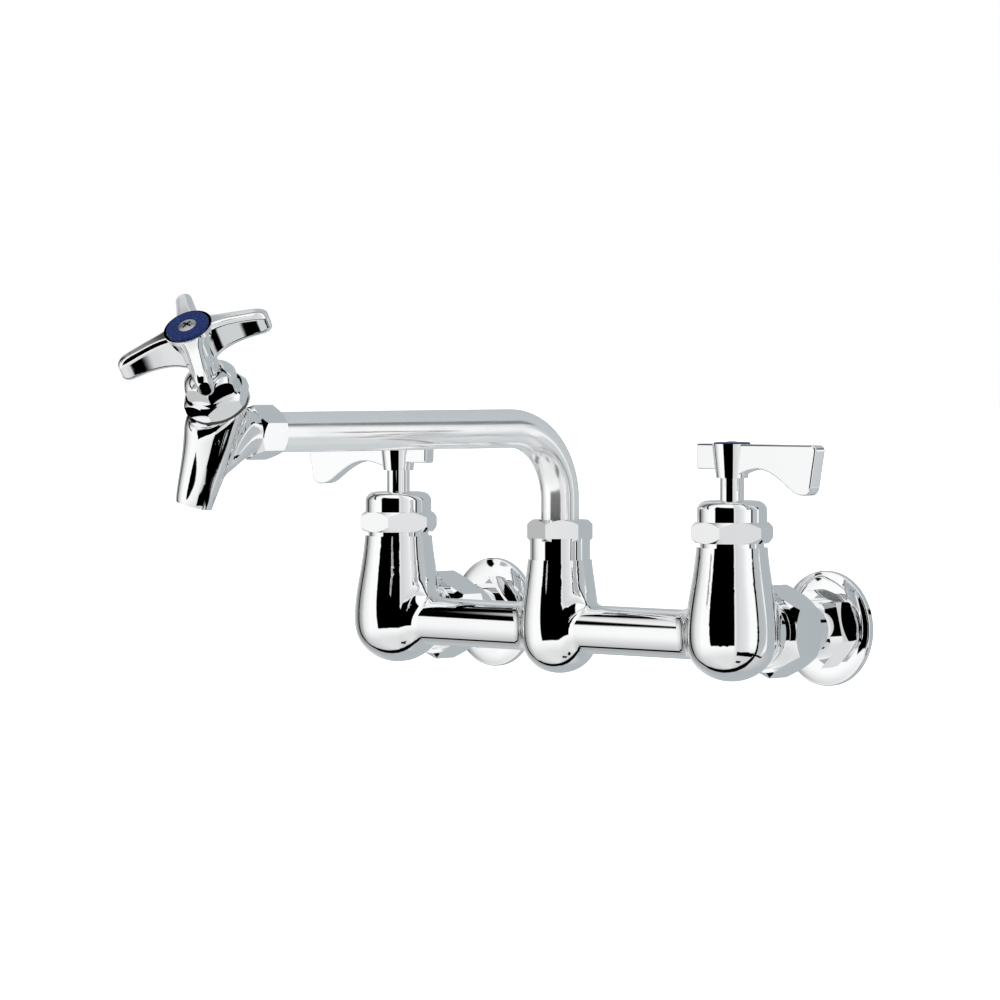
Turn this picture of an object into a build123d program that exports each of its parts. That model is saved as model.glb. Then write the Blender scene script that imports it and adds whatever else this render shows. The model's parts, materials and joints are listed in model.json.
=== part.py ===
"""Wall-mounted two-handle mixing faucet with a swing spout and a shut-off valve on the spout's end.

Row frame, in millimetres: the origin lies on the wall plane, midway between the two supply
inlets. +X is to the right of someone facing the wall, +Y goes into the wall and +Z is up.
"""
from build123d import *
import math
import os

# ---------------------------------------------------------------- driving dimensions
INLET_CENTRES = 203.2        # 8 in between the two supply inlets
BODY_STANDOFF = 65.0         # from the wall plane to the plane of the three turret axes
SPOUT_REACH_TO_STEM = 199.9  # from the swivel axis to where the end valve's stem axis crosses the tube
SPOUT_HEIGHT = 88.05         # height of the level part of the spout above the inlets
RUNNING = 0.05               # radial clearance of a turning or sliding fit
FACE_GAP = 0.03              # gap between two faces that turn on each other

# body casting
ARM_RADIUS = 10.8
ARM_HEIGHT = -1.1
TURRET_TOP = 37.5
TURRET_TOP_RADIUS = 15.5
SPOUT_TURRET_TOP = 29.4
SPOUT_TURRET_TOP_RADIUS = 14.3
SPOUT_TURRET_BLEND = 9.5
VALVE_TURRET_BLEND = 11.0
BOSS_BLEND = 6.0
BOSS_RADIUS = 15.0
BOSS_LIP_RADIUS = 16.1
BOSS_FACE = 22.0             # distance of the rear boss's end from the turret axis

# waterways
INLET_BORE = 6.0
ARM_BORE = 5.5
SEAT_FLOOR = 7.0
SEAT_PORT = 5.0
GALLERY_RADIUS = 11.2
GALLERY_TOP = 24.0
VALVE_THREAD_RADIUS = 12.6

# valve bonnets, with heights above the inlets
COLLAR_RADIUS = 13.9
HEX_BOTTOM = 39.4
HEX_TOP = 48.5
BONNET_ACROSS_FLATS = 31.75  # 1 1/4 in
CAP_RADIUS = 15.2
CAP_SHOULDER = 54.2
CAP_TOP = 57.7
CAP_TOP_RADIUS = 10.0
CAP_THREAD_RADIUS = 12.5
BONNET_CORNER = {"left": 30.0, "right": 24.0}  # where a nut corner stands, degrees from -Y towards +X

# cartridge
HOUSING_RADIUS = 9.55
DISC_RADIUS = 8.85
DISC_BORE = 8.9
DISC_THICKNESS = 2.45
STEM_RADIUS = 5.25
BROACH = 5.6
HUB_BOTTOM = 67.5
HUB_TOP = 82.2

# lever handles
HUB_BOTTOM_RADIUS = 6.95
HUB_TOP_RADIUS = 8.65
BLADE_THICKNESS = 6.6
BLADE_LENGTH = 51.2
TAIL_LENGTH = 18.5
EDGE_ROUND = 0.9
INDEX_RADIUS = 7.9
INDEX_THICKNESS = 1.9
SCREW_SHANK_RADIUS = 1.9
SCREW_HEAD_RADIUS = 3.9
LEVER_TURN = {"left": 7.0, "right": -2.0}  # turn of the closed lever about Z, as its broach fits the stem

# inlets, with distances measured from the turret axis towards the wall
UNION_THREAD_RADIUS = 15.4
UNION_THREAD_END = 32.0
UNION_ACROSS_FLATS = 35.3
UNION_NUT_END = 39.0
SHANK_RADIUS = 13.5
FLANGE_RADIUS = 25.4         # 2 in flange
FLANGE_THICKNESS = 4.5
FLANGE_DOME = 1.6            # fall of the domed front from the boss to the rim
FLANGE_EDGE = 0.8
FLANGE_HEX_ACROSS_FLATS = 30.4
FLANGE_HEX_LENGTH = 6.0
SUPPLY_THREAD_RADIUS = 10.3  # 1/2 in pipe thread, female
SUPPLY_THREAD_LENGTH = 15.0
UNION_CORNER = 30.0          # a corner stands at the top, degrees from +X about the axis towards the wall
FLANGE_CORNER = {"left": 45.0, "right": 16.0}

# spout
TUBE_RADIUS = 8.6
TUBE_WALL = 1.1
TUBE_BEND = 32.0
TUBE_FOOT = 20.0
SOCKET_RADIUS = 10.5
SOCKET_FLOOR = 15.0
SPIGOT_RADIUS = 12.0
SPIGOT_TOP = 41.0
SPOUT_NUT_SHOULDER = 37.0
SPOUT_NUT_TOP = 47.2
SPOUT_NUT_SKIRT = 13.5
SPOUT_NUT_ACROSS_FLATS = 25.4  # 1 in
SPOUT_NUT_CORNER = 17.0
O_RING_SECTION = 0.66

# end valve: distances along the tube from the swivel axis, or along the stem from the tube's axis
VALVE_ROLL = 14.8            # the valve is screwed on this far past upright, top towards +X
STEM_LEAN = 37.8             # lean of its stem away from the swivel axis
ADAPTER_START = 176.6
ADAPTER_END = 190.6
ADAPTER_ACROSS_FLATS = 20.3
ADAPTER_CORNER = 5.0
VALVE_BOSS_RADIUS = 9.8
VALVE_BOSS_BLEND = 9.0
OUTLET_REACH = 213.9
OUTLET_DROP = 31.0
OUTLET_LEAN = 5.5            # lean of the outlet away from the swivel axis, going down
OUTLET_RADIUS = 7.7
OUTLET_BORE = 5.7
VALVE_HEX_BOTTOM = 16.2
VALVE_HEX_TOP = 23.6
VALVE_BONNET_ACROSS_FLATS = 24.6
VALVE_BONNET_CORNER = 34.0
PACKING_ACROSS_FLATS = 20.2
PACKING_CORNER = 42.0
PACKING_SHOULDER = 28.5
PACKING_TOP = 33.2
CROSS_TOP = 57.6
CROSS_HUB_RADIUS = 10.3
CROSS_TIP_RADIUS = 32.4
CROSS_INDEX_RADIUS = 9.0
CROSS_CORNER = 54.0          # angle of the first arm about the stem, from the tube's plane
SEAT_LIP = 7.5               # height of the seat's lip, where the washer closes


# ---------------------------------------------------------------- shared shapes
def turned(*outline):
    """Solid of revolution about Z from a closed outline of (radius, height) points."""
    return turned_face(Polyline(*outline, close=True))


def turned_face(edges):
    """Solid of revolution about Z from closed edges drawn as (radius, height)."""
    return revolve(Plane.XZ * make_face(edges), Axis.Z)


def ring(inner, outer, bottom, top):
    """Plain ring about Z."""
    return turned((inner, bottom), (outer, bottom), (outer, top), (inner, top))


def rod(radius, bottom, top):
    """Plain round bar about Z."""
    return turned((0, bottom), (radius, bottom), (radius, top), (0, top))


def o_ring(outer, height):
    """Rubber ring of round section whose outside just reaches a radius."""
    return Pos(0, 0, height) * Torus(outer - O_RING_SECTION, O_RING_SECTION)


def hexagon(across_flats, bottom, top, corner, bevel_bottom=True, bevel_top=True):
    """Hexagonal bar about Z with turned bevels, its first corner at an angle in degrees."""
    flat = across_flats / 2
    tip = flat / math.cos(math.radians(30)) + 0.05
    depth = tip - flat
    bar = extrude(RegularPolygon(flat, 6, major_radius=False), top - bottom)
    outline = [(0, bottom), (tip, bottom), (tip, top), (0, top)]
    if bevel_bottom:
        outline[1:2] = [(flat, bottom), (tip, bottom + depth)]
    if bevel_top:
        outline[-2:-1] = [(tip, top - depth), (flat, top)]
    return (Rot(0, 0, corner) * Pos(0, 0, bottom) * bar) & turned(*outline)


def from_front(angle):
    """Angle about Z, from +X, of a direction given in degrees from -Y towards +X."""
    return angle - 90


def mirrored_for(side, shape):
    """A right-hand shape, or its mirror image for the left-hand side."""
    return shape if side == "right" else mirror(shape, about=Plane.YZ)


def phillips_screw(head_radius, seat, top, tip):
    """Oval-headed screw about Z with a cross recess."""
    edge = seat + 0.6 * (top - seat)
    outline = (
        Polyline((0, tip), (SCREW_SHANK_RADIUS, tip), (SCREW_SHANK_RADIUS, seat),
                 (head_radius, seat), (head_radius, edge))
        + ThreePointArc((head_radius, edge), (0.55 * head_radius, top - 0.12 * (top - seat)), (0, top))
        + Line((0, top), (0, tip))
    )
    screw = turned_face(outline)
    for turn in (0, 90):
        slot = Rot(0, 0, turn) * Pos(0, 0, top) * Box(1.15 * head_radius, 0.24 * head_radius, 1.6)
        screw -= slot
    return screw


# ---------------------------------------------------------------- body casting
def valve_turret():
    """Pear-shaped turret under each handle, about its own axis."""
    side = Spline(
        (0, -20.4), (3.5, -20.17), (13.9, -15.3), (18.5, -9.3), (20.15, 0.5),
        (18.1, 18.5), (16.6, 27.5), (TURRET_TOP_RADIUS, TURRET_TOP),
    )
    rest = Polyline((TURRET_TOP_RADIUS, TURRET_TOP), (0, TURRET_TOP), (0, -20.4))
    return turned_face(side + rest)


def spout_turret():
    """Slimmer middle turret that carries the spout, about its own axis."""
    side = Spline(
        (0, -21.2), (3.5, -20.93), (11.2, -17.4), (15.9, -11.0), (17.5, -2.0), (16.2, 15.0),
        (15.2, 22.0), (SPOUT_TURRET_TOP_RADIUS, SPOUT_TURRET_TOP),
    )
    rest = Polyline((SPOUT_TURRET_TOP_RADIUS, SPOUT_TURRET_TOP), (0, SPOUT_TURRET_TOP), (0, -21.2))
    return turned_face(side + rest)


def towards_wall(shape, x):
    """Turns a shape's own Z axis to point at the wall from the turret axis at x."""
    return Pos(x, 0, 0) * Rot(-90, 0, 0) * shape


def casting_outside():
    """Outside of the body casting, with its turrets, arms and rear bosses blended together."""
    half = INLET_CENTRES / 2
    arms = Pos(0, 0, ARM_HEIGHT) * Rot(0, 90, 0) * Cylinder(ARM_RADIUS, INLET_CENTRES)
    solid = arms + spout_turret()
    for x in (-half, half):
        solid += Pos(x, 0, 0) * valve_turret()
    solid = fillet(arm_joints(solid, 0, half / 2), SPOUT_TURRET_BLEND)
    solid = fillet(arm_joints(solid, half / 2, half), VALVE_TURRET_BLEND)
    for x in (-half, half):
        solid += towards_wall(rod(BOSS_RADIUS, 0, BOSS_FACE - 2.2), x)
    solid = fillet([edge for edge in solid.edges() if is_boss_joint(edge)], BOSS_BLEND)
    for x in (-half, half):
        solid += towards_wall(rod(BOSS_LIP_RADIUS, BOSS_FACE - 2.2, BOSS_FACE), x)
        solid += towards_wall(rod(UNION_THREAD_RADIUS, BOSS_FACE, UNION_THREAD_END), x)
    return solid


def arm_joints(solid, nearest, farthest):
    """Edges where an arm enters a turret, between two distances from the middle of the body."""
    found = []
    for edge in solid.edges():
        box = edge.bounding_box()
        low = abs(box.min.Z - (ARM_HEIGHT - ARM_RADIUS)) < 1.0
        high = abs(box.max.Z - (ARM_HEIGHT + ARM_RADIUS)) < 1.0
        if (low or high) and edge.geom_type != GeomType.LINE and nearest < abs(edge.center().X) < farthest:
            found.append(edge)
    return found


def is_boss_joint(edge):
    """Whether an edge lies where a rear boss enters its turret."""
    points = [edge.position_at(step / 4) for step in range(5)]
    half = INLET_CENTRES / 2
    on_boss = all(abs(math.hypot(abs(point.X) - half, point.Z) - BOSS_RADIUS) < 0.02 for point in points)
    return on_boss and all(1 < point.Y < BOSS_FACE - 2.5 for point in points)


def valve_waterways():
    """Bores of a valve turret: inlet, seat port, gallery and the threaded mouth, for the right side."""
    bores = rod(SEAT_PORT, -4, SEAT_FLOOR)
    bores += rod(HOUSING_RADIUS + RUNNING, SEAT_FLOOR, 10)
    bores += rod(GALLERY_RADIUS, 10, GALLERY_TOP)
    bores += rod(VALVE_THREAD_RADIUS, GALLERY_TOP, TURRET_TOP + 1)
    bores += Rot(-90, 0, 0) * rod(INLET_BORE, -6, UNION_THREAD_END + 1)
    return bores


def mixing_waterways():
    """Arm bores, their risers from the galleries and the spout socket."""
    half = INLET_CENTRES / 2
    riser = half - GALLERY_RADIUS + 0.4
    bores = Pos(0, 0, ARM_HEIGHT) * Rot(0, 90, 0) * Cylinder(ARM_BORE, 2 * (riser + 1))
    for x in (-riser, riser):
        bores += Pos(x, 0, 0) * rod(2.4, ARM_HEIGHT, 14)
    bores += rod(ARM_BORE + 1.5, -9, SOCKET_FLOOR)
    bores += rod(SOCKET_RADIUS, SOCKET_FLOOR, SPIGOT_TOP + 1)
    return bores


def faucet_body():
    """Whole body casting: outside, spout spigot and waterways."""
    half = INLET_CENTRES / 2
    solid = casting_outside()
    solid += rod(SPIGOT_RADIUS, 20, SPIGOT_TOP)
    for x in (-half, half):
        solid -= Pos(x, 0, 0) * valve_waterways()
    return solid - mixing_waterways()


# ---------------------------------------------------------------- valves under the lever handles
def bonnet_nut(side):
    """Hexagonal bonnet that holds the cartridge down in its turret."""
    nut = ring(HOUSING_RADIUS, VALVE_THREAD_RADIUS, 26, TURRET_TOP)
    nut += ring(HOUSING_RADIUS, COLLAR_RADIUS, TURRET_TOP, HEX_BOTTOM)
    corner = from_front(BONNET_CORNER[side])
    nut += hexagon(BONNET_ACROSS_FLATS, HEX_BOTTOM, HEX_TOP, corner) - rod(HOUSING_RADIUS, 0, HEX_TOP + 1)
    nut += ring(HOUSING_RADIUS, CAP_THREAD_RADIUS, HEX_TOP, CAP_SHOULDER - 0.6)
    return nut


def bonnet_cap():
    """Round cap that closes the bonnet round the stem."""
    hole = STEM_RADIUS + RUNNING
    outline = (
        Polyline((hole, CAP_TOP), (hole, CAP_SHOULDER - 0.4), (CAP_THREAD_RADIUS, CAP_SHOULDER - 0.4),
                 (CAP_THREAD_RADIUS, HEX_TOP), (CAP_RADIUS, HEX_TOP), (CAP_RADIUS, CAP_SHOULDER))
        + ThreePointArc((CAP_RADIUS, CAP_SHOULDER), (13.7, 56.6), (CAP_TOP_RADIUS, CAP_TOP))
        + Line((CAP_TOP_RADIUS, CAP_TOP), (hole, CAP_TOP))
    )
    return turned_face(outline)


def cartridge_housing():
    """Brass sleeve of the quarter-turn cartridge, with four windows to the gallery."""
    bottom = SEAT_FLOOR + 1.9
    shoulder = stem_foot_top() + 0.1
    guide = STEM_RADIUS + RUNNING
    housing = turned(
        (DISC_BORE, bottom), (HOUSING_RADIUS, bottom), (HOUSING_RADIUS, HEX_TOP),
        (guide, HEX_TOP), (guide, shoulder), (DISC_BORE, shoulder),
    )
    window_bottom = bottom + 2 * DISC_THICKNESS + 0.2
    window = Pos(0, 0, window_bottom + 1.4) * Box(4 * HOUSING_RADIUS, 7, 2.8)
    return housing - window - Rot(0, 0, 90) * window


def stem_foot_top():
    """Height of the top of the stem's driving foot."""
    return SEAT_FLOOR + 1.9 + 2 * DISC_THICKNESS + 2 * FACE_GAP + 3.4


def seat_seal():
    """Rubber seal between the turret's seat and the cartridge."""
    return ring(SEAT_PORT + 0.2, HOUSING_RADIUS - 0.1, SEAT_FLOOR, SEAT_FLOOR + 1.9)


def ceramic_disc(radius, bottom):
    """Ceramic disc with two quarter-circle ports, opposite each other."""
    disc = rod(radius, bottom, bottom + DISC_THICKNESS)
    for turn in (0, 180):
        sector = Rot(0, 0, turn) * (
            extrude(make_face(Polyline((1.2, 0.6), (9, 5.4), (9, 9), (5.4, 9), (0.6, 1.2), close=True)), 20)
        )
        disc -= sector & ring(2.2, 6.6, 0, 20)
    return disc


def fixed_disc():
    """Lower ceramic disc, which stays in the housing."""
    return ceramic_disc(DISC_RADIUS, SEAT_FLOOR + 1.9 + FACE_GAP)


def moving_disc():
    """Upper ceramic disc, which the stem turns. It stands a quarter turn off the lower disc's ports."""
    bottom = SEAT_FLOOR + 1.9 + DISC_THICKNESS + 2 * FACE_GAP
    return Rot(0, 0, 90) * ceramic_disc(DISC_RADIUS - 0.25, bottom)


def valve_stem():
    """Stem of the cartridge, from its driving foot up to the broach in the handle."""
    foot_top = stem_foot_top()
    foot_bottom = foot_top - 3.4
    stem = rod(DISC_RADIUS - 0.25, foot_bottom, foot_top)
    stem += rod(STEM_RADIUS, foot_top, HUB_BOTTOM)
    stem -= ring(STEM_RADIUS - 2 * O_RING_SECTION, STEM_RADIUS + 1, 40.2, 41.8)
    stem += Pos(0, 0, HUB_BOTTOM + 5) * Box(BROACH, BROACH, 10)
    stem -= ring(3.6, 6, HUB_BOTTOM, HUB_BOTTOM + 11)
    return stem - rod(SCREW_SHANK_RADIUS, HUB_BOTTOM + 1, HUB_BOTTOM + 11)


# ---------------------------------------------------------------- lever handles
def blade_outline():
    """Side view of the blade and tail: flat top, arched underside and a deep rounded end."""
    end_top = (BLADE_LENGTH, HUB_TOP - 2.6)
    end_bottom = (BLADE_LENGTH - 2.9, 64.4)
    toe = (BLADE_LENGTH - 7.6, 60.7)
    return (
        Polyline((3.0, 68.6), (0, 68.6), (0, 71.0), (-TAIL_LENGTH + 1.6, 71.0))
        + ThreePointArc((-TAIL_LENGTH + 1.6, 71.0), (-TAIL_LENGTH + 0.6, 71.4), (-TAIL_LENGTH + 0.2, 72.4))
        + Line((-TAIL_LENGTH + 0.2, 72.4), (-TAIL_LENGTH, HUB_TOP - 1.2))
        + ThreePointArc(
            (-TAIL_LENGTH, HUB_TOP - 1.2), (-TAIL_LENGTH + 0.35, HUB_TOP - 0.35), (-TAIL_LENGTH + 1.2, HUB_TOP)
        )
        + Line((-TAIL_LENGTH + 1.2, HUB_TOP), (BLADE_LENGTH - 2.2, HUB_TOP))
        + ThreePointArc((BLADE_LENGTH - 2.2, HUB_TOP), (BLADE_LENGTH - 0.55, HUB_TOP - 0.8), end_top)
        + Line(end_top, end_bottom)
        + ThreePointArc(end_bottom, (BLADE_LENGTH - 4.6, 61.4), toe)
        + Spline(toe, (34.5, 64.2), (25.0, 69.8), (17.0, 71.4), (9.0, 69.9), (3.0, 68.6),
                 tangents=[(-1, -0.05), (-1, -0.1)])
    )


def lever_handle():
    """Right-hand lever: tapered hub with a blade towards +X and a short tail behind."""
    plate = extrude(Plane.XZ * make_face(blade_outline()), BLADE_THICKNESS / 2, both=True)
    faces = [face for face in plate.faces() if abs(face.center().Y) > BLADE_THICKNESS / 2 - 0.01]
    plate = fillet([edge for face in faces for edge in face.edges() if abs(edge.center().X) > 3.5], EDGE_ROUND)
    hub = turned((0, HUB_BOTTOM), (HUB_BOTTOM_RADIUS, HUB_BOTTOM), (HUB_TOP_RADIUS, HUB_TOP), (0, HUB_TOP))
    handle = plate + hub
    handle -= rod(INDEX_RADIUS + RUNNING, HUB_TOP - 1.2, HUB_TOP + 2)
    handle -= Pos(0, 0, HUB_BOTTOM + 5) * Box(BROACH + 0.1, BROACH + 0.1, 10.4)
    return handle - rod(SCREW_SHANK_RADIUS + 0.15, HUB_BOTTOM + 9, HUB_TOP + 2)


def index_ring(radius, bottom):
    """Coloured plastic ring under a handle screw, with a softly rounded rim."""
    hub = ring(SCREW_HEAD_RADIUS + 0.1, radius, bottom, bottom + INDEX_THICKNESS)
    rim = [edge for edge in hub.edges() if edge.center().Z > bottom + 1 and edge.radius > radius - 0.1]
    hub = fillet(rim, 0.6)
    return hub + ring(SCREW_SHANK_RADIUS + 0.15, SCREW_HEAD_RADIUS + 0.1, bottom, bottom + 0.8)


def lever_screw():
    """Screw that holds a lever and its index ring on the stem."""
    seat = HUB_TOP - 1.2 + 0.8
    return phillips_screw(SCREW_HEAD_RADIUS, seat, seat + 1.6, HUB_BOTTOM + 2)


# ---------------------------------------------------------------- inlets, each about the Z axis that points at the wall
def inlet_washer():
    """Fibre washer clamped in the union."""
    return ring(INLET_BORE + 2, UNION_THREAD_RADIUS - 0.4, UNION_THREAD_END, UNION_THREAD_END + 2)


def union_nut():
    """Hexagonal union nut that clamps the body onto the inlet shank."""
    collar_end = UNION_THREAD_END + 4.5
    nut = hexagon(UNION_ACROSS_FLATS, BOSS_FACE, UNION_NUT_END, UNION_CORNER)
    return nut - rod(UNION_THREAD_RADIUS, BOSS_FACE - 1, collar_end) - rod(SHANK_RADIUS + 0.1, 0, 60)


def inlet_shank():
    """Shank that joins the union to the supply pipe, with a female pipe thread at the wall."""
    wall = BODY_STANDOFF
    collar_start = UNION_THREAD_END + 2
    shank = rod(SHANK_RADIUS, collar_start, wall)
    shank += rod(UNION_THREAD_RADIUS - 0.3, collar_start, collar_start + 2.5)
    shank -= rod(INLET_BORE + 1, 0, wall)
    return shank - rod(SUPPLY_THREAD_RADIUS, wall - SUPPLY_THREAD_LENGTH, wall + 1)


def inlet_flange(side):
    """Domed wall flange with a hexagonal boss, screwed along the shank against the wall."""
    wall = BODY_STANDOFF
    front = wall - FLANGE_THICKNESS
    rim = front + FLANGE_DOME
    disc = turned_face(
        Polyline((0, front), (0, wall), (FLANGE_RADIUS, wall), (FLANGE_RADIUS, rim + FLANGE_EDGE))
        + ThreePointArc(
            (FLANGE_RADIUS, rim + FLANGE_EDGE),
            (FLANGE_RADIUS - 0.3 * FLANGE_EDGE, rim + 0.3 * FLANGE_EDGE),
            (FLANGE_RADIUS - FLANGE_EDGE, rim),
        )
        + ThreePointArc((FLANGE_RADIUS - FLANGE_EDGE, rim), (21.6, front + 0.32 * FLANGE_DOME), (17.0, front))
        + Line((17.0, front), (0, front))
    )
    boss = hexagon(
        FLANGE_HEX_ACROSS_FLATS, front - FLANGE_HEX_LENGTH, front + 1, FLANGE_CORNER[side],
        bevel_bottom=False, bevel_top=False,
    )
    return disc + boss - rod(SHANK_RADIUS, 0, wall + 1)


# ---------------------------------------------------------------- spout, in a frame whose X axis points along the tube
def tube_path(start, finish):
    """Centre line of the spout: up the swivel axis, round the bend and out along the level part."""
    rise = SPOUT_HEIGHT - TUBE_BEND
    return (
        Line((0, 0, start), (0, 0, rise))
        + ThreePointArc(
            (0, 0, rise),
            (TUBE_BEND * (1 - math.sqrt(0.5)), 0, rise + TUBE_BEND * math.sqrt(0.5)),
            (TUBE_BEND, 0, SPOUT_HEIGHT),
        )
        + Line((TUBE_BEND, 0, SPOUT_HEIGHT), (finish, 0, SPOUT_HEIGHT))
    )


def spout_tube():
    """Bent brass tube from the swivel socket to the end valve's adapter."""
    finish = ADAPTER_START + 8
    section = Circle(TUBE_RADIUS) - Circle(TUBE_RADIUS - TUBE_WALL)
    return sweep(Pos(0, 0, TUBE_FOOT) * section, path=tube_path(TUBE_FOOT, finish))


def swivel_sleeve():
    """Turned sleeve brazed round the foot of the tube, with a flange and two seal grooves."""
    outer = SOCKET_RADIUS - RUNNING
    sleeve = ring(TUBE_RADIUS, outer, TUBE_FOOT - 1.5, SPIGOT_TOP + 0.1)
    sleeve += ring(TUBE_RADIUS, SPIGOT_RADIUS - 0.3, SPIGOT_TOP + 0.1, SPIGOT_TOP + 2.1)
    for height in spout_seal_heights():
        sleeve -= ring(outer - 2 * O_RING_SECTION, outer + 1, height - 0.75, height + 0.75)
    return sleeve


def spout_seal_heights():
    """Heights of the two spout seals."""
    return (TUBE_FOOT + 4, TUBE_FOOT + 10)


def spout_o_rings():
    """The two rubber seals of the swivel."""
    outer = SOCKET_RADIUS - RUNNING
    return [o_ring(outer, height) for height in spout_seal_heights()]


def glide_washer():
    """Nylon washer between the sleeve's flange and the nut."""
    return ring(TUBE_RADIUS + RUNNING, SPIGOT_RADIUS - 0.3, SPIGOT_TOP + 2.1 + FACE_GAP, SPIGOT_TOP + 3.4)


def spout_nut():
    """Hexagonal nut with a round skirt that keeps the spout in its socket."""
    corner = from_front(SPOUT_NUT_CORNER)
    nut = hexagon(SPOUT_NUT_ACROSS_FLATS, SPOUT_NUT_SHOULDER, SPOUT_NUT_TOP, corner)
    nut += rod(SPOUT_NUT_SKIRT, SPOUT_TURRET_TOP, SPOUT_NUT_SHOULDER + 2)
    nut -= rod(SPIGOT_RADIUS, SPOUT_TURRET_TOP - 1, SPIGOT_TOP + 3.4 + FACE_GAP)
    return nut - rod(TUBE_RADIUS + 2 * RUNNING, SPIGOT_TOP, SPOUT_NUT_TOP + 1)


# ---------------------------------------------------------------- end valve
# The valve frame has its origin where the stem axis crosses the tube's axis, X along the tube and
# Z up in the valve's own plane. The stem frame shares the origin and has Z along the stem.
STEM_FRAME = Rot(0, STEM_LEAN, 0)
OUTLET_X = OUTLET_REACH - SPOUT_REACH_TO_STEM
OUTLET_FRAME = Pos(OUTLET_X, 0, -OUTLET_DROP) * Rot(0, -OUTLET_LEAN, 0)


def along_tube(shape):
    """Turns a shape's own Z axis to run along the tube, with heights read from the swivel axis."""
    return Pos(-SPOUT_REACH_TO_STEM, 0, 0) * Rot(0, 90, 0) * shape


def end_adapter():
    """Hexagonal adapter brazed on the tube's end and screwed into the valve."""
    adapter = hexagon(ADAPTER_ACROSS_FLATS, ADAPTER_START, ADAPTER_END, ADAPTER_CORNER)
    adapter += rod(7.6, ADAPTER_END, ADAPTER_END + 5)
    adapter -= rod(TUBE_RADIUS, ADAPTER_START - 1, ADAPTER_START + 8)
    return along_tube(adapter - rod(5.2, ADAPTER_START, ADAPTER_END + 8))


def valve_casting_outside():
    """Outside of the end valve: a barrel from the bonnet down to the outlet, and a blended inlet boss."""
    barrel = loft([
        OUTLET_FRAME * Circle(OUTLET_RADIUS),
        OUTLET_FRAME * Pos(0, 0, 14.0) * Circle(9.4),
        OUTLET_FRAME * Pos(0.3, 0, 28.0) * Rot(0, 8, 0) * Circle(11.0),
        OUTLET_FRAME * Pos(0.6, 0, 35.0) * Rot(0, 22, 0) * Circle(12.0),
        STEM_FRAME * Pos(0, 0, VALVE_HEX_BOTTOM - 0.6) * Circle(13.2),
    ])
    boss = loft([
        Pos(0, 0, ADAPTER_END) * Circle(VALVE_BOSS_RADIUS),
        Pos(0.9, 0, ADAPTER_END + 4.5) * Ellipse(VALVE_BOSS_RADIUS + 0.9, VALVE_BOSS_RADIUS + 0.1),
        Pos(3.4, 0, ADAPTER_END + 10) * Ellipse(VALVE_BOSS_RADIUS + 3.0, VALVE_BOSS_RADIUS + 0.2),
        Pos(6.0, 0, SPOUT_REACH_TO_STEM + 9) * Ellipse(VALVE_BOSS_RADIUS + 4.5, VALVE_BOSS_RADIUS - 1.5),
    ])
    solid = barrel + along_tube(boss)
    return fillet([edge for edge in solid.edges() if is_valve_boss_joint(edge)], VALVE_BOSS_BLEND)


def is_valve_boss_joint(edge):
    """Whether an edge lies where the inlet boss enters the end valve's barrel."""
    box = edge.bounding_box()
    return box.min.X > ADAPTER_END - SPOUT_REACH_TO_STEM + 0.3 and box.max.X < 9.2


def valve_body():
    """End valve casting with its inlet, seat wall, chamber and outlet."""
    solid = valve_casting_outside()
    socket = rod(7.6, ADAPTER_END - 1, ADAPTER_END + 5.2)
    inside = along_tube(socket + rod(5.2, ADAPTER_END, SPOUT_REACH_TO_STEM + 3.5))
    inside += STEM_FRAME * (
        rod(3.4, 0, 5) + rod(5.2, 4, 7.2) + rod(8.3, 7, 12.5) + rod(10.4, 12.5, VALVE_HEX_BOTTOM + 2)
    )
    inside += OUTLET_FRAME * rod(OUTLET_BORE, -1, 19)
    inside += Pos(13.4, 0, 0) * rod(4.2, -14, 6)
    return solid - inside


def valve_seat():
    """Brass seat ring screwed into the valve's inner wall."""
    top = SEAT_LIP - 0.03
    return STEM_FRAME * turned((3.4, 4.0), (5.2, 4.0), (5.2, 7.0), (4.7, 7.0), (4.3, top), (3.4, top))


def seat_washer():
    """Rubber washer that closes on the seat."""
    return STEM_FRAME * ring(1.45, 5.2, SEAT_LIP, SEAT_LIP + 2.9)


def washer_screw():
    """Brass screw that holds the washer on the stem."""
    screw = rod(2.6, SEAT_LIP - 1.3, SEAT_LIP - 0.02) + rod(1.4, SEAT_LIP - 0.1, SEAT_LIP + 8)
    return STEM_FRAME * (screw - Pos(0, 0, SEAT_LIP - 1.3) * Box(6, 0.8, 1.2))


def end_stem():
    """Threaded stem of the end valve."""
    foot = SEAT_LIP + 2.9 + 0.02
    stem = rod(5.8, foot, foot + 2.4)
    stem += rod(4.2, foot + 2.4, CROSS_TOP - 14)
    stem += rod(4.9, 17.5, 21.5)
    stem += Pos(0, 0, CROSS_TOP - 10) * Box(5.4, 5.4, 10)
    return STEM_FRAME * (stem - rod(1.4, 0, foot + 7) - rod(SCREW_SHANK_RADIUS, CROSS_TOP - 13, CROSS_TOP))


def end_bonnet():
    """Hexagonal bonnet of the end valve, threaded for the stem and the packing nut."""
    corner = VALVE_BONNET_CORNER
    bonnet = hexagon(VALVE_BONNET_ACROSS_FLATS, VALVE_HEX_BOTTOM, VALVE_HEX_TOP, corner)
    bonnet += rod(10.4, 12.5, VALVE_HEX_BOTTOM + 1)
    bonnet += rod(8.6, VALVE_HEX_TOP - 1, PACKING_SHOULDER + 0.5)
    bonnet -= rod(4.95, 8, 30)
    bonnet -= rod(6.9, 8, 17)
    bonnet -= rod(6.6, 25.5, 30)
    return STEM_FRAME * bonnet


def bonnet_gasket():
    """Fibre gasket under the end valve's bonnet."""
    return STEM_FRAME * ring(10.4, 12.4, VALVE_HEX_BOTTOM - 0.6, VALVE_HEX_BOTTOM)


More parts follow.
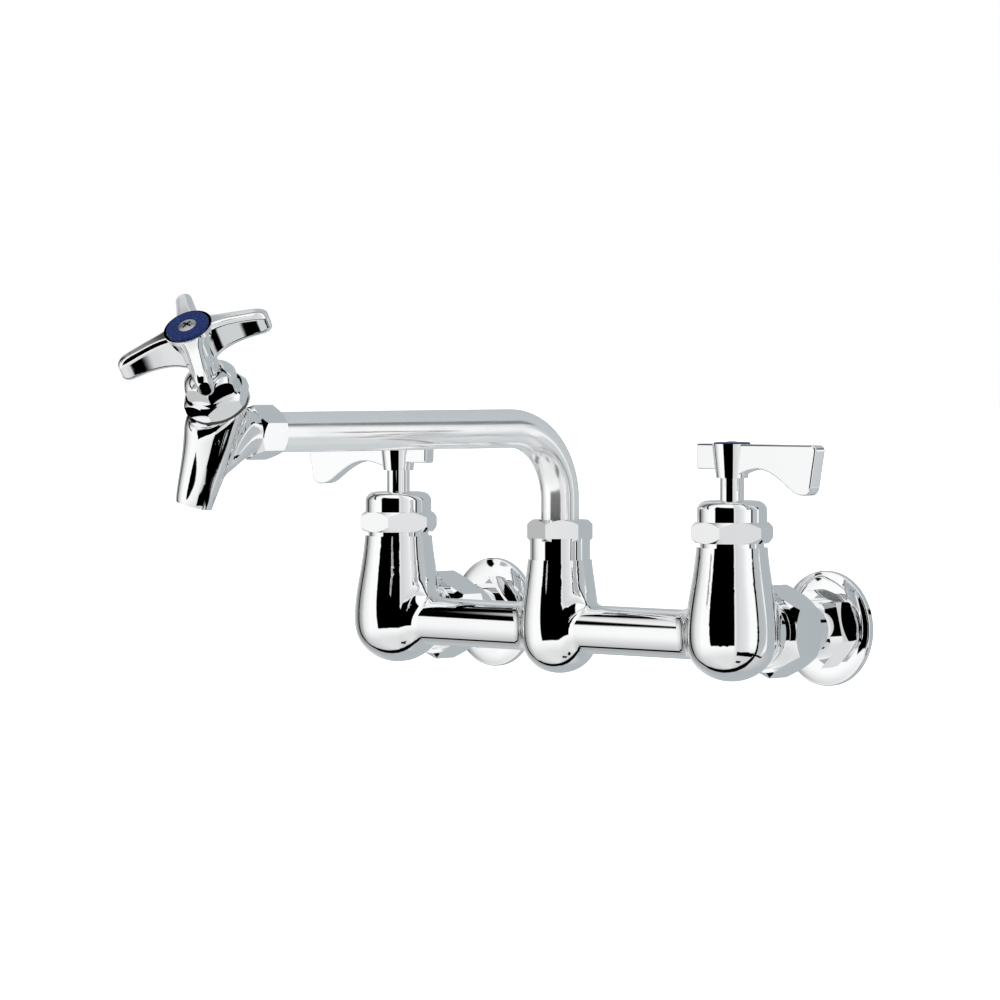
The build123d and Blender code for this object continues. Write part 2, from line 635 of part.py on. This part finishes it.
def packing_ring():
    """Packing round the stem."""
    return STEM_FRAME * ring(4.2 + FACE_GAP, 6.6, 25.5, PACKING_SHOULDER + 0.5)


def packing_nut():
    """Hexagonal packing nut with a domed top."""
    prism = hexagon(PACKING_ACROSS_FLATS, VALVE_HEX_TOP, PACKING_TOP, PACKING_CORNER, bevel_top=False)
    dome = turned_face(
        Polyline((0, PACKING_TOP), (0, VALVE_HEX_TOP), (13, VALVE_HEX_TOP), (13, PACKING_SHOULDER - 1.4),
                 (11.7, PACKING_SHOULDER - 0.4))
        + ThreePointArc((11.7, PACKING_SHOULDER - 0.4), (10.0, PACKING_SHOULDER + 3.0), (6.5, PACKING_TOP))
        + Line((6.5, PACKING_TOP), (0, PACKING_TOP))
    )
    nut = prism & dome
    nut -= rod(8.6, VALVE_HEX_TOP - 1, PACKING_SHOULDER + 0.5)
    return STEM_FRAME * (nut - rod(4.2 + RUNNING, VALVE_HEX_TOP, PACKING_TOP + 1))


def cross_arm():
    """One drooping arm of the cross handle with a rounded end, out along +X of the stem frame."""
    tip = CROSS_TIP_RADIUS
    sections = []
    for reach, top, bottom, width, corner in (
        (0, 0, 18.0, 10.6, 2.4), (9.0, 0.1, 15.4, 10.0, 2.4), (14.0, 0.8, 14.4, 7.9, 2.4),
        (19.0, 1.7, 14.0, 7.2, 2.4), (tip - 6.0, 3.3, 14.4, 7.0, 2.6), (tip - 1.8, 4.7, 14.4, 6.3, 2.6),
        (tip, 6.4, 12.9, 4.2, 1.9),
    ):
        frame = Plane(origin=(reach, 0, CROSS_TOP - (top + bottom) / 2), x_dir=(0, 1, 0), z_dir=(1, 0, 0))
        sections.append(frame * RectangleRounded(width, bottom - top, corner))
    return loft(sections)


def cross_handle():
    """Four-armed handle of the end valve."""
    hub_bottom = PACKING_TOP + 1.3
    hub = turned_face(
        Polyline((0, CROSS_TOP), (0, hub_bottom), (6.2, hub_bottom))
        + Spline((6.2, hub_bottom), (7.0, hub_bottom + 8), (CROSS_HUB_RADIUS, CROSS_TOP - 2.0),
                 tangents=[(0, 1), (0.3, 1)])
        + Line((CROSS_HUB_RADIUS, CROSS_TOP - 2.0), (CROSS_HUB_RADIUS, CROSS_TOP))
        + Line((CROSS_HUB_RADIUS, CROSS_TOP), (0, CROSS_TOP))
    )
    arm = cross_arm()
    for turn in range(4):
        hub += Rot(0, 0, 90 * turn + CROSS_CORNER) * arm
    handle = hub - rod(CROSS_INDEX_RADIUS + RUNNING, CROSS_TOP - 1.0, CROSS_TOP + 2)
    handle -= Pos(0, 0, CROSS_TOP - 10) * Box(5.5, 5.5, 10.4)
    handle -= rod(4.2, hub_bottom - 1, CROSS_TOP - 14)
    return STEM_FRAME * (handle - rod(SCREW_SHANK_RADIUS + 0.15, CROSS_TOP - 10, CROSS_TOP + 2))


def cross_index():
    """Index ring of the cross handle."""
    return STEM_FRAME * index_ring(CROSS_INDEX_RADIUS, CROSS_TOP - 1.0)


def cross_screw():
    """Screw that holds the cross handle on its stem."""
    seat = CROSS_TOP - 0.2
    return STEM_FRAME * phillips_screw(SCREW_HEAD_RADIUS, seat, seat + 1.6, CROSS_TOP - 12)


# ---------------------------------------------------------------- placing and writing
def placed_nodes():
    """Every node's name and shape, in the row frame."""
    body_place = Pos(0, -BODY_STANDOFF, 0)
    spout_place = body_place * Rot(0, 0, -90)
    valve_place = spout_place * Pos(SPOUT_REACH_TO_STEM, 0, SPOUT_HEIGHT) * Rot(-VALVE_ROLL, 0, 0)
    nodes = {"faucet_body": body_place * faucet_body(), "spout_nut": body_place * spout_nut()}
    nodes |= valve_nodes(body_place)
    nodes |= inlet_nodes(body_place)
    for name, shape in (
        ("spout_tube", spout_tube()), ("swivel_sleeve", swivel_sleeve()),
        ("spout_o_rings", spout_o_rings()), ("glide_washer", glide_washer()),
    ):
        nodes[name] = placed(spout_place, shape)
    for name, shape in (
        ("end_adapter", end_adapter()), ("valve_body", valve_body()), ("valve_seat", valve_seat()),
        ("end_bonnet", end_bonnet()), ("bonnet_gasket", bonnet_gasket()), ("packing_nut", packing_nut()),
        ("packing_ring", packing_ring()), ("end_stem", end_stem()), ("seat_washer", seat_washer()),
        ("washer_screw", washer_screw()), ("cross_handle", cross_handle()), ("cross_index", cross_index()),
        ("cross_screw", cross_screw()),
    ):
        nodes[name] = placed(valve_place, shape)
    return nodes


def placed(place, shape):
    """A shape, or a list of separate solids, moved to its place."""
    if isinstance(shape, list):
        return Compound(children=[place * solid for solid in shape])
    return place * shape


def valve_nodes(body_place):
    """The two cartridge valves with their bonnets and lever handles."""
    nodes = {}
    for side, sign in (("left", -1), ("right", 1)):
        place = body_place * Pos(sign * INLET_CENTRES / 2, 0, 0)
        lever_turn = Rot(0, 0, LEVER_TURN[side])
        index_bottom = HUB_TOP - 1.2
        for name, shape in (
            ("bonnet_nut", bonnet_nut(side)), ("bonnet_cap", bonnet_cap()),
            ("cartridge_housing", cartridge_housing()), ("seat_seal", seat_seal()),
            ("fixed_disc", mirrored_for(side, fixed_disc())), ("moving_disc", mirrored_for(side, moving_disc())),
            ("valve_stem", lever_turn * valve_stem()), ("stem_o_ring", o_ring(STEM_RADIUS, 41.0)),
            ("lever_handle", lever_turn * mirrored_for(side, lever_handle())),
            ("lever_index", index_ring(INDEX_RADIUS, index_bottom)), ("lever_screw", lever_screw()),
        ):
            nodes[f"{side}_{name}"] = place * shape
    return nodes


def inlet_nodes(body_place):
    """The two inlets with their unions and wall flanges."""
    nodes = {}
    for side, sign in (("left", -1), ("right", 1)):
        place = body_place * Pos(sign * INLET_CENTRES / 2, 0, 0) * Rot(-90, 0, 0)
        for name, shape in (
            ("inlet_washer", inlet_washer()), ("union_nut", union_nut()),
            ("inlet_shank", inlet_shank()), ("inlet_flange", inlet_flange(side)),
        ):
            nodes[f"{side}_{name}"] = place * shape
    return nodes


def main():
    os.makedirs("parts", exist_ok=True)
    for name, shape in placed_nodes().items():
        export_step(shape, f"parts/{name}.step")


if __name__ == "__main__":
    main()
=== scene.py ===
"""Looks of the wall-mounted faucet: chrome, plastic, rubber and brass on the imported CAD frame.

Everything is in metres in the row frame: the origin lies on the wall plane between the two
inlets, +X is to the right of someone facing the wall, +Y goes into the wall and +Z is up.
"""
import bpy
import json
import math
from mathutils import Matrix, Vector


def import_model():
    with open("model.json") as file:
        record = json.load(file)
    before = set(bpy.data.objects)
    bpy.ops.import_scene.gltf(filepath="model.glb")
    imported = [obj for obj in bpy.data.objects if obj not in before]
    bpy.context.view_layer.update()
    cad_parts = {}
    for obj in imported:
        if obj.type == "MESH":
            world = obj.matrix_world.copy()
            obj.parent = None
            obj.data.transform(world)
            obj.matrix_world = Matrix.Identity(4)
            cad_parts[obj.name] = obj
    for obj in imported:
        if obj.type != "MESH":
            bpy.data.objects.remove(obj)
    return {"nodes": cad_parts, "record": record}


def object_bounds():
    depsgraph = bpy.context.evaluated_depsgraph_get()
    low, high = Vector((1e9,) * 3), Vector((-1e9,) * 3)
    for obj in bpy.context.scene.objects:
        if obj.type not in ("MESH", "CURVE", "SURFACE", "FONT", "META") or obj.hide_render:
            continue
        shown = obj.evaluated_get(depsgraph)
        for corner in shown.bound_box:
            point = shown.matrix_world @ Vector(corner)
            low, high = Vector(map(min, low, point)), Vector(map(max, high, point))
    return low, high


# The camera stands on a circle round the middle turret's axis, which is BODY_STANDOFF off the wall.
BODY_STANDOFF = 0.065
CAMERA_AZIMUTH = math.radians(43.1)
CAMERA_DISTANCE = 2.1966
CAMERA_HEIGHT = 0.1207
CAMERA_TARGET = Vector((-0.01947, -0.08322, 0.05587))
CAMERA_LENS = 177.65
CAMERA_SENSOR = 36.0

FLOOR_DROP = 0.30            # how far the floor lies below the faucet's lowest point
FLOOR_SIZE = 60.0
FLOOR_GLOW = 0.9

# Soft boxes: name, place, side length and power in watts.
SOFTBOXES = (
    ("key_softbox", (-1.6, -1.8, 1.9), 1.4, 26.0),
    ("fill_softbox", (2.2, -0.6, 1.5), 1.6, 14.0),
)

# The studio as the chrome sees it. Its directions are in degrees: azimuth from straight out of
# the wall towards +X, and elevation upwards. Nothing here is an object, so it has no distance.
STUDIO_STRENGTH = 1.12
BLACK = (0.0, 0.0, 0.0)
WHITE = (0.96, 0.96, 0.96)
COOL_GREY = (0.42, 0.455, 0.475)
PALE_GREY = (0.62, 0.63, 0.635)

# Colours by azimuth: the tent's walls, and what lies below them.
TENT_WALLS = (
    (-180.0, COOL_GREY), (-132.0, COOL_GREY), (-118.0, (0.66, 0.67, 0.68)),
    (-100.0, (0.34, 0.35, 0.36)), (-88.0, (0.16, 0.16, 0.16)), (-72.0, (0.40, 0.40, 0.40)),
    (-58.0, (0.78, 0.78, 0.78)), (-40.0, WHITE), (46.0, WHITE), (54.0, PALE_GREY),
    (75.0, (0.74, 0.74, 0.745)), (90.0, WHITE), (104.0, WHITE), (112.0, (0.44, 0.47, 0.48)),
    (131.0, (0.48, 0.50, 0.51)), (133.0, WHITE), (136.0, WHITE), (139.0, COOL_GREY),
    (180.0, COOL_GREY),
)
TENT_BELOW = (
    (-180.0, COOL_GREY), (-125.0, COOL_GREY), (-95.0, (0.40, 0.40, 0.40)), (-60.0, PALE_GREY),
    (-20.0, (0.74, 0.745, 0.745)), (40.0, (0.72, 0.725, 0.725)), (80.0, (0.60, 0.62, 0.62)),
    (140.0, (0.58, 0.59, 0.59)), (180.0, COOL_GREY),
)
BELOW_STARTS = 12.0          # how far down the walls start to turn to the lower colours
BELOW_FULL = 48.0

# Black flags. The large one across the front has a left edge that leans with elevation.
FLAG_SOFTNESS = 2.0          # width of a flag's soft edge
FRONT_FLAG_LEFT = -16.5
FRONT_FLAG_LEAN = -0.22
FRONT_FLAG_RIGHT, FRONT_FLAG_LOW, FRONT_FLAG_HIGH = 48.0, -17.5, 48.0

# Narrow flags to the right, in front of the wall and behind it: left, right, low and high edges.
NARROW_FLAGS = (
    (139.0, 147.0, 17.0, 34.0),
    (54.0, 106.0, -42.0, -30.5),
    (104.0, 142.0, -38.0, -33.0),
    (58.0, 83.0, -68.0, -60.5),
)

# A narrow flag at the left. Its middle line passes through this azimuth and elevation.
SLANT_AZIMUTH, SLANT_ELEVATION = -50.0, 24.0
SLANT_SLOPE = -0.86
SLANT_HALF_WIDTH = 4.5
SLANT_LEFT, SLANT_RIGHT = -80.0, -45.0

# The seam is a circle of directions round the middle of the tent's front half. Its place and
# widths are cosines of the angle from there.
SEAM_AZIMUTH = math.radians(13.0)
SEAM_OFFSET = -0.11
SEAM_HALF_WIDTH = 0.052
SEAM_UNDER_WIDTH = 0.06      # how much is added to the half width underneath
SEAM_UNDER_STARTS, SEAM_UNDER_FULL = 0.6, 0.95   # how steeply down, as a sine
SEAM_DARK_WITHIN, SEAM_GONE_BEYOND = 0.75, 1.2   # its soft edge, as shares of the half width

# Sockets of the Mix node when it mixes colours.
MIX_FACTOR, MIX_FIRST, MIX_SECOND, MIX_RESULT = 0, 6, 7, 2


def main():
    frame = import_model()
    cad_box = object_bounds()
    paint(frame["nodes"], frame["record"])
    make_floor(cad_box[0][2] - FLOOR_DROP)
    make_camera()
    make_world()
    make_lights()
    set_view()


# ---------------------------------------------------------------- node building
class Nodes:
    """Builds a node tree: each call adds a node, sets its values and links its inputs."""

    def __init__(self, tree):
        self.tree = tree
        tree.nodes.clear()

    def add(self, kind, values=None, **settings):
        node = self.tree.nodes.new("ShaderNode" + kind)
        for name, value in settings.items():
            setattr(node, name, value)
        self.fill(node, values or {})
        return node

    def fill(self, node, values):
        """Links or sets several of a node's inputs."""
        for socket, value in values.items():
            self.put(node.inputs[socket], value)

    def put(self, socket, value):
        """Links a socket, or sets it when the value is a plain number, vector or RGB colour."""
        if isinstance(value, bpy.types.NodeSocket):
            self.tree.links.new(value, socket)
        elif socket.type == "RGBA":
            socket.default_value = (*value, 1.0)
        else:
            socket.default_value = value

    def math(self, operation, first, second=0.0, third=0.0):
        node = self.add("Math", operation=operation)
        for socket, value in zip(node.inputs, (first, second, third)):
            self.put(socket, value)
        return node.outputs[0]

    def mix(self, factor, first, second):
        """A colour between two."""
        values = {MIX_FACTOR: factor, MIX_FIRST: first, MIX_SECOND: second}
        return self.add("Mix", values, data_type="RGBA").outputs[MIX_RESULT]

    def step(self, value, start, end, kind="SMOOTHSTEP"):
        """0 below start, 1 above end and a rise between them, smooth unless kind is LINEAR."""
        node = self.add("MapRange", interpolation_type=kind)
        for socket, given in zip(node.inputs, (value, start, end)):
            self.put(socket, given)
        return node.outputs[0]

    def noise(self, coordinates, scale, detail=3.0, roughness=0.5):
        values = {"Vector": coordinates, "Scale": scale, "Detail": detail, "Roughness": roughness}
        return self.add("TexNoise", values).outputs["Fac"]

    def bump(self, height, distance, strength):
        values = {"Height": height, "Distance": distance, "Strength": strength}
        return self.add("Bump", values).outputs["Normal"]

    def stretched(self, coordinates, scale):
        return self.add("Mapping", {"Vector": coordinates, "Scale": scale}).outputs[0]

    def object_coordinates(self):
        return self.add("TexCoord").outputs["Object"]


def new_material(name):
    material = bpy.data.materials.new(name)
    material.use_nodes = True
    nodes = Nodes(material.node_tree)
    shader = nodes.add("BsdfPrincipled")
    nodes.add("OutputMaterial", {"Surface": shader.outputs["BSDF"]})
    return material, nodes, shader


# ---------------------------------------------------------------- materials
def chrome(name, tint=(0.90, 0.905, 0.91), gloss=0.018, smear=0.012, metallic=1.0):
    """Polished chrome plate, with faint polishing smears and specks in its gloss."""
    material, nodes, shader = new_material(name)
    place = nodes.object_coordinates()
    specks = nodes.step(nodes.noise(place, 900.0, 2.0), 0.70, 0.78)
    dull = nodes.step(nodes.noise(place, 22.0, 4.0, 0.55), 0.45, 0.75)
    roughness = nodes.math("MULTIPLY_ADD", dull, smear, gloss)
    nodes.fill(shader, {
        "Metallic": metallic,
        "Base Color": nodes.mix(dull, tint, tuple(part * 0.985 for part in tint)),
        "Roughness": nodes.math("MULTIPLY_ADD", specks, 0.03, roughness),
    })
    return material


def brass(name):
    """Machined brass with fine turning marks and a little tarnish."""
    material, nodes, shader = new_material(name)
    place = nodes.object_coordinates()
    tarnish = nodes.step(nodes.noise(place, 90.0, 5.0, 0.6), 0.4, 0.75)
    marks = nodes.noise(nodes.stretched(place, (40.0, 40.0, 2500.0)), 1.0)
    nodes.fill(shader, {
        "Metallic": 1.0,
        "Base Color": nodes.mix(tarnish, (0.80, 0.60, 0.28), (0.52, 0.36, 0.16)),
        "Roughness": nodes.math("MULTIPLY_ADD", tarnish, 0.18, 0.22),
        "Normal": nodes.bump(marks, 0.00002, 0.4),
    })
    return material


def steel(name):
    """Plated steel screw: finely brushed, with painted shade that darkens its recess, and its plain
    bright colour on the rim.
    """
    material, nodes, shader = new_material(name)
    scratches = nodes.noise(nodes.stretched(nodes.object_coordinates(), (900.0, 60.0, 300.0)), 1.0)
    # Painted shade: ambient occlusion turns the base colour near black in the screw's recess, where
    # shade falls.
    recess_occlusion = nodes.add("AmbientOcclusion", {"Distance": 0.0016}, samples=12).outputs["AO"]
    clear_of_painted_shade = nodes.step(recess_occlusion, 0.45, 0.85)
    nodes.fill(shader, {
        "Metallic": 1.0,
        "Base Color": nodes.mix(clear_of_painted_shade, (0.02, 0.02, 0.02), (0.50, 0.51, 0.52)),
        "Roughness": nodes.math("MULTIPLY_ADD", scratches, 0.2, 0.2),
        "Normal": nodes.bump(scratches, 0.00003, 0.5),
    })
    return material


def index_plastic(name, colour, speck):
    """Moulded index plastic with a pebbled grain and paler specks."""
    material, nodes, shader = new_material(name)
    place = nodes.object_coordinates()
    specks = nodes.step(nodes.noise(place, 1500.0, 2.0, 0.7), 0.56, 0.68)
    nodes.fill(shader, {
        "Roughness": 0.5,
        "Specular IOR Level": 0.25,
        "Base Color": nodes.mix(specks, colour, speck),
        "Normal": nodes.bump(nodes.noise(place, 2600.0, 3.0, 0.6), 0.00012, 0.7),
    })
    return material


def rubber(name):
    """Black moulded rubber with a soft bloom."""
    material, nodes, shader = new_material(name)
    place = nodes.object_coordinates()
    bloom = nodes.step(nodes.noise(place, 160.0, 4.0, 0.6), 0.4, 0.8)
    nodes.fill(shader, {
        "Base Color": nodes.mix(bloom, (0.012, 0.012, 0.013), (0.05, 0.05, 0.052)),
        "Roughness": nodes.math("MULTIPLY_ADD", bloom, 0.15, 0.55),
        "Normal": nodes.bump(nodes.noise(place, 1800.0), 0.00004, 0.5),
    })
    return material


def ceramic(name):
    """Lapped white ceramic with a faint grain."""
    material, nodes, shader = new_material(name)
    grain = nodes.noise(nodes.object_coordinates(), 1400.0, 3.0)
    nodes.fill(shader, {
        "Base Color": nodes.mix(grain, (0.86, 0.86, 0.83), (0.93, 0.93, 0.91)),
        "Roughness": nodes.math("MULTIPLY_ADD", grain, 0.1, 0.12),
    })
    return material


def nylon(name):
    """Natural nylon washer, slightly translucent and waxy."""
    material, nodes, shader = new_material(name)
    mottle = nodes.noise(nodes.object_coordinates(), 220.0, 4.0)
    nodes.fill(shader, {
        "Subsurface Weight": 0.2,
        "Subsurface Radius": (0.002, 0.002, 0.0015),
        "Base Color": nodes.mix(mottle, (0.82, 0.80, 0.73), (0.90, 0.89, 0.83)),
        "Roughness": nodes.math("MULTIPLY_ADD", mottle, 0.15, 0.38),
    })
    return material


def fibre(name, light, dark):
    """Pressed fibre or packing: matted strands of two shades."""
    material, nodes, shader = new_material(name)
    place = nodes.stretched(nodes.object_coordinates(), (1.0, 4.0, 1.0))
    strands = nodes.noise(place, 700.0, 5.0, 0.7)
    nodes.fill(shader, {
        "Roughness": 0.86,
        "Base Color": nodes.mix(strands, dark, light),
        "Normal": nodes.bump(strands, 0.0001, 0.7),
    })
    return material


def paint(nodes, record):
    """Gives every CAD node the material of its slot in the record."""
    slots = {part["node"]: part["material_slot"] for part in record["subparts"]}
    materials = {
        "chrome": chrome("polished_chrome"),
        # The drawn tube is satin. It is short of fully metallic so that it keeps its pale sheen.
        "spout_chrome": chrome("drawn_tube_chrome", (0.93, 0.93, 0.935), 0.13, 0.05, 0.84),
        "brass": brass("machined_brass"),
        "steel_screw": steel("plated_screw_steel"),
        "hot_index": index_plastic("red_index_plastic", (0.42, 0.03, 0.03), (0.62, 0.12, 0.10)),
        "cold_index": index_plastic("blue_index_plastic", (0.004, 0.016, 0.105), (0.02, 0.075, 0.30)),
        "rubber": rubber("black_rubber"),
        "ceramic": ceramic("lapped_ceramic"),
        "nylon": nylon("natural_nylon"),
        "fibre": fibre("black_fibre", (0.09, 0.085, 0.08), (0.03, 0.028, 0.026)),
        "packing": fibre("packing_yarn", (0.80, 0.80, 0.76), (0.45, 0.45, 0.43)),
    }
    for name, node in nodes.items():
        node.data.materials.clear()
        node.data.materials.append(materials[slots[name]])


# ---------------------------------------------------------------- studio
def make_floor(height):
    """Plain pale floor, well under the faucet, as it hangs on a wall."""
    half = FLOOR_SIZE / 2
    mesh = bpy.data.meshes.new("studio_floor")
    corners = [(x * half, y * half, height) for x, y in ((-1, -1), (1, -1), (1, 1), (-1, 1))]
    mesh.from_pydata(corners, [], [(0, 1, 2, 3)])
    floor = bpy.data.objects.new("studio_floor", mesh)
    bpy.context.scene.collection.objects.link(floor)
    material, nodes, shader = new_material("pale_floor")
    mottle = nodes.noise(nodes.object_coordinates(), 3.0)
    nodes.fill(shader, {
        "Base Color": nodes.mix(mottle, (0.93, 0.93, 0.93), (0.95, 0.95, 0.95)),
        "Roughness": 0.9,
        "Emission Color": (1.0, 1.0, 1.0),
        "Emission Strength": FLOOR_GLOW,
    })
    mesh.materials.append(material)
    floor.visible_glossy = False


def aim(thing, place, target):
    """Puts a camera or light at a place and turns it to a target."""
    thing.location = place
    thing.rotation_mode = "QUATERNION"
    thing.rotation_quaternion = (target - place).to_track_quat("-Z", "Y")


def make_camera():
    """Camera in front and to the right, a little above the spout, with a long lens."""
    data = bpy.data.cameras.new("camera")
    data.lens = CAMERA_LENS
    data.sensor_width = CAMERA_SENSOR
    camera = bpy.data.objects.new("camera", data)
    bpy.context.scene.collection.objects.link(camera)
    right = CAMERA_DISTANCE * math.sin(CAMERA_AZIMUTH)
    forward = -BODY_STANDOFF - CAMERA_DISTANCE * math.cos(CAMERA_AZIMUTH)
    aim(camera, Vector((right, forward, CAMERA_HEIGHT)), CAMERA_TARGET)
    bpy.context.scene.camera = camera


def make_lights():
    """Two soft boxes that light the plastic, rubber and floor; the tent lights the chrome."""
    for name, place, size, power in SOFTBOXES:
        data = bpy.data.lights.new(name, "AREA")
        data.shape = "SQUARE"
        data.size = size
        data.energy = power
        light = bpy.data.objects.new(name, data)
        aim(light, Vector(place), Vector())
        light.visible_glossy = False
        light.visible_camera = False
        bpy.context.scene.collection.objects.link(light)


def set_view():
    """Shows colours as they are, with no film look over them."""
    view = bpy.context.scene.view_settings
    view.view_transform = "Standard"
    view.look = "None"


def make_world():
    """A white studio tent as the chrome sees it: bright front, cool grey back, and black flags."""
    world = bpy.data.worlds.new("studio")
    world.use_nodes = True
    bpy.context.scene.world = world
    nodes = Nodes(world.node_tree)
    sky = nodes.add("TexCoord").outputs["Generated"]
    x, y, z = nodes.add("SeparateXYZ", {"Vector": sky}).outputs
    azimuth = nodes.math("DEGREES", nodes.math("ARCTAN2", x, nodes.math("MULTIPLY", y, -1.0)))
    elevation = nodes.math("DEGREES", nodes.math("ARCSINE", z))
    dark = nodes.math("MAXIMUM", black_flags(nodes, azimuth, elevation), tent_seam(nodes, sky, z))
    seen = nodes.mix(dark, studio_tent(nodes, azimuth, elevation), BLACK)
    studio = nodes.add("Background", {"Color": seen, "Strength": STUDIO_STRENGTH})
    plain = nodes.add("Background", {"Color": (1.0, 1.0, 1.0), "Strength": 1.0})
    seen_directly = nodes.add("LightPath").outputs["Is Camera Ray"]
    choice = nodes.add("MixShader", {0: seen_directly, 1: studio.outputs[0], 2: plain.outputs[0]})
    nodes.add("OutputWorld", {"Surface": choice.outputs[0]})


def ramp(nodes, azimuth, stops):
    """Colours along the whole round of azimuths, straight between (azimuth, colour) stops."""
    node = nodes.add("ValToRGB")
    elements = node.color_ramp.elements
    while len(elements) > 1:
        elements.remove(elements[-1])
    first, last = stops[0][0], stops[-1][0]
    for number, (where, colour) in enumerate(stops):
        place = (where - first) / (last - first)
        element = elements[0] if number == 0 else elements.new(place)
        element.position = place
        element.color = (*colour, 1.0)
    nodes.put(node.inputs[0], nodes.step(azimuth, first, last, "LINEAR"))
    return node.outputs[0]


def studio_tent(nodes, azimuth, elevation):
    """Colour of the tent's walls round the faucet, white in front and greyer below and behind."""
    lowered = nodes.step(nodes.math("MULTIPLY", elevation, -1.0), BELOW_STARTS, BELOW_FULL)
    return nodes.mix(lowered, ramp(nodes, azimuth, TENT_WALLS), ramp(nodes, azimuth, TENT_BELOW))


def between(nodes, value, low, high):
    """1 where the value lies between two limits, numbers or sockets, with soft edges."""
    half = FLAG_SOFTNESS / 2
    above, past = (
        nodes.step(value, nodes.math("SUBTRACT", edge, half), nodes.math("ADD", edge, half))
        for edge in (low, high)
    )
    return nodes.math("MULTIPLY", above, nodes.math("SUBTRACT", 1.0, past))


def black_flags(nodes, azimuth, elevation):
    """1 where a black flag is: the large one across the front, the narrow ones, the slanting one."""
    front_left = nodes.math("MULTIPLY_ADD", elevation, FRONT_FLAG_LEAN, FRONT_FLAG_LEFT)
    past_slant = nodes.math("SUBTRACT", azimuth, SLANT_AZIMUTH)
    slant = nodes.math("MULTIPLY_ADD", past_slant, SLANT_SLOPE, SLANT_ELEVATION)
    slant_low = nodes.math("SUBTRACT", slant, SLANT_HALF_WIDTH)
    slant_high = nodes.math("ADD", slant, SLANT_HALF_WIDTH)
    edges = (
        (front_left, FRONT_FLAG_RIGHT, FRONT_FLAG_LOW, FRONT_FLAG_HIGH),
        *NARROW_FLAGS,
        (SLANT_LEFT, SLANT_RIGHT, slant_low, slant_high),
    )
    total = 0.0
    for left, right, low, high in edges:
        across = between(nodes, azimuth, left, right)
        upward = between(nodes, elevation, low, high)
        total = nodes.math("MAXIMUM", total, nodes.math("MULTIPLY", across, upward))
    return total


def tent_seam(nodes, direction, height):
    """The dark gap all round where the tent's white front half meets its grey rear half."""
    facing = (math.sin(SEAM_AZIMUTH), -math.cos(SEAM_AZIMUTH), 0.0)
    product = nodes.add("VectorMath", {0: direction, 1: facing}, operation="DOT_PRODUCT")
    away = nodes.math("ABSOLUTE", nodes.math("SUBTRACT", product.outputs["Value"], SEAM_OFFSET))
    under = nodes.step(nodes.math("MULTIPLY", height, -1.0), SEAM_UNDER_STARTS, SEAM_UNDER_FULL)
    half_width = nodes.math("MULTIPLY_ADD", under, SEAM_UNDER_WIDTH, SEAM_HALF_WIDTH)
    share = nodes.math("DIVIDE", away, half_width)
    return nodes.math("SUBTRACT", 1.0, nodes.step(share, SEAM_DARK_WITHIN, SEAM_GONE_BEYOND))


main()
